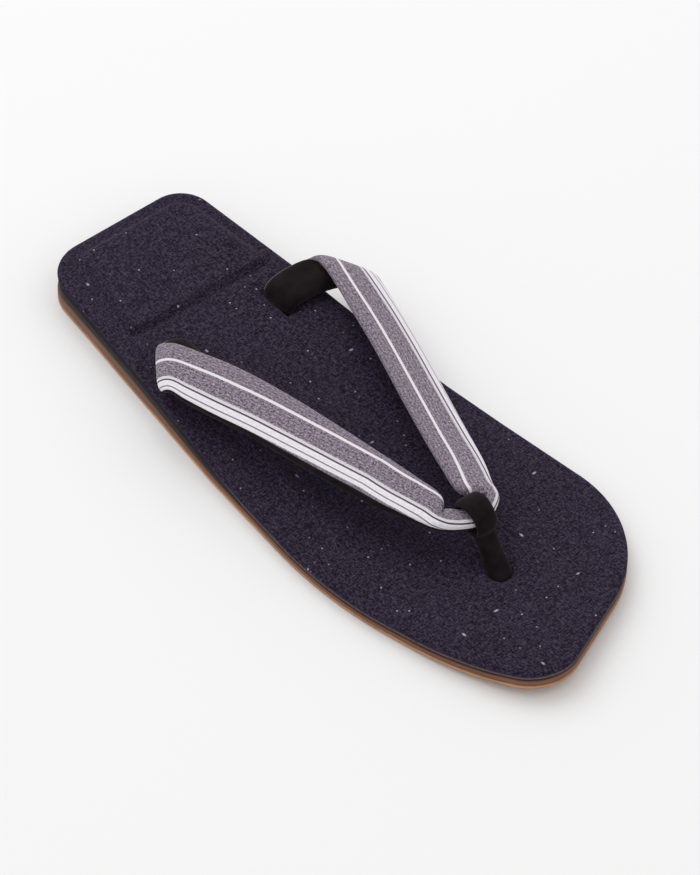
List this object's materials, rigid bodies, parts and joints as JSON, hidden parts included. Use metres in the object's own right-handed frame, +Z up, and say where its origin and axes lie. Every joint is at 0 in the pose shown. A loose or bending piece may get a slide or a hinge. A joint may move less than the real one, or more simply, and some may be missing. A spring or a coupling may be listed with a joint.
{
  "type": "zori sandal",
  "caption": "Flat thong sandal for the left foot: thin layered sole, padded cloth footbed, padded striped V strap folded into it, velvet front loop between the toes.",
  "frame": {"origin": "middle of the bounding box on the floor, under the arch", "axes": "X towards the inner side of the foot, Y towards the toe, Z up"},
  "size_m": [0.1088, 0.266, 0.0282],
  "materials": {
    "tan_leather": "matte natural leather sole",
    "brown_leather": "satin dark brown leather edge",
    "charcoal_foam": "matte charcoal wedge",
    "denim_cloth": "dark indigo denim with pale slubs",
    "striped_cloth": "grey tweedy cotton with pale and dark stripes",
    "black_velvet": "black velvet"
  },
  "bodies": {
    "root": {"outsole": "tan_leather", "midsole": "brown_leather", "heel_wedge": "charcoal_foam", "footbed": "denim_cloth", "strap": "striped_cloth", "front_loop": "black_velvet"}
  },
  "joints": []
}
